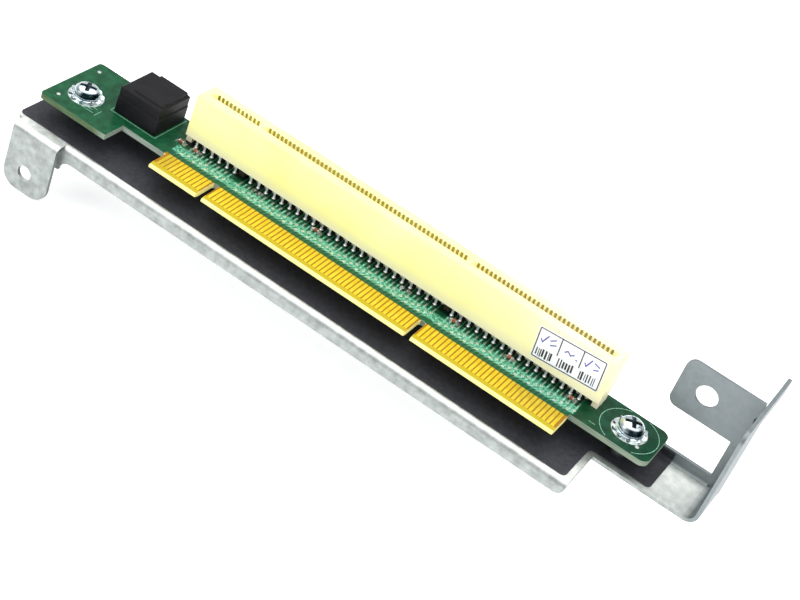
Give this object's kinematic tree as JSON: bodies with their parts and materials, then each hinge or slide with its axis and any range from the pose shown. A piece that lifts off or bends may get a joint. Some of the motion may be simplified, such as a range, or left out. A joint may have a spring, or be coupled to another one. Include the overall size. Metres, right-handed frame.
{
  "type": "pci-x riser card",
  "caption": "Riser card on a folded steel bracket: gold edge fingers at the front, a long keyed card socket on top, and a hole in each fixing tab.",
  "frame": {"origin": "centre of edge contact 1, at the finger tips, on the component face of the board", "axes": "+X along the fingers from contact 1 to the last contact, +Y from the finger tips to the back, +Z out of the component face, the way the expansion card leaves the socket"},
  "size_m": [0.2008, 0.0498, 0.0474],
  "materials": {
    "zinc_steel": "zinc-plated sheet",
    "black_film": "matt insulating film",
    "standoff_steel": "plated, turned",
    "green_board": "green solder resist",
    "screw_zinc": "bright zinc",
    "washer_zinc": "bright zinc",
    "ivory_plastic": "ivory moulding",
    "contact_gold": "plated spring strip",
    "finger_gold": "gold plating",
    "black_plastic": "black moulding",
    "black_cover": "black moulding",
    "pin_tin": "tinned",
    "capacitor_ceramic": "fired ceramic",
    "chip_tin": "tinned",
    "resistor_black": "glazed black",
    "label_paper": "printed label"
  },
  "bodies": {
    "root": {"bracket": "zinc_steel", "insulator_film": "black_film", "left_standoff": "standoff_steel", "right_standoff": "standoff_steel", "circuit_board": "green_board", "left_screw": "screw_zinc", "right_screw": "screw_zinc", "left_lock_washer": "washer_zinc", "right_lock_washer": "washer_zinc", "connector_housing": "ivory_plastic", "front_outer_contacts": "contact_gold", "front_inner_contacts": "contact_gold", "rear_outer_contacts": "contact_gold", "rear_inner_contacts": "contact_gold", "top_fingers_first": "finger_gold", "top_fingers_middle": "finger_gold", "top_fingers_last": "finger_gold", "bottom_fingers_first": "finger_gold", "bottom_fingers_middle": "finger_gold", "bottom_fingers_last": "finger_gold", "receptacle_housing": "black_plastic", "receptacle_cover": "black_cover", "receptacle_pins": "pin_tin", "capacitor_bodies": "capacitor_ceramic", "capacitor_terminals": "chip_tin", "resistor_bodies": "resistor_black", "resistor_terminals": "chip_tin", "label": "label_paper"}
  },
  "joints": []
}
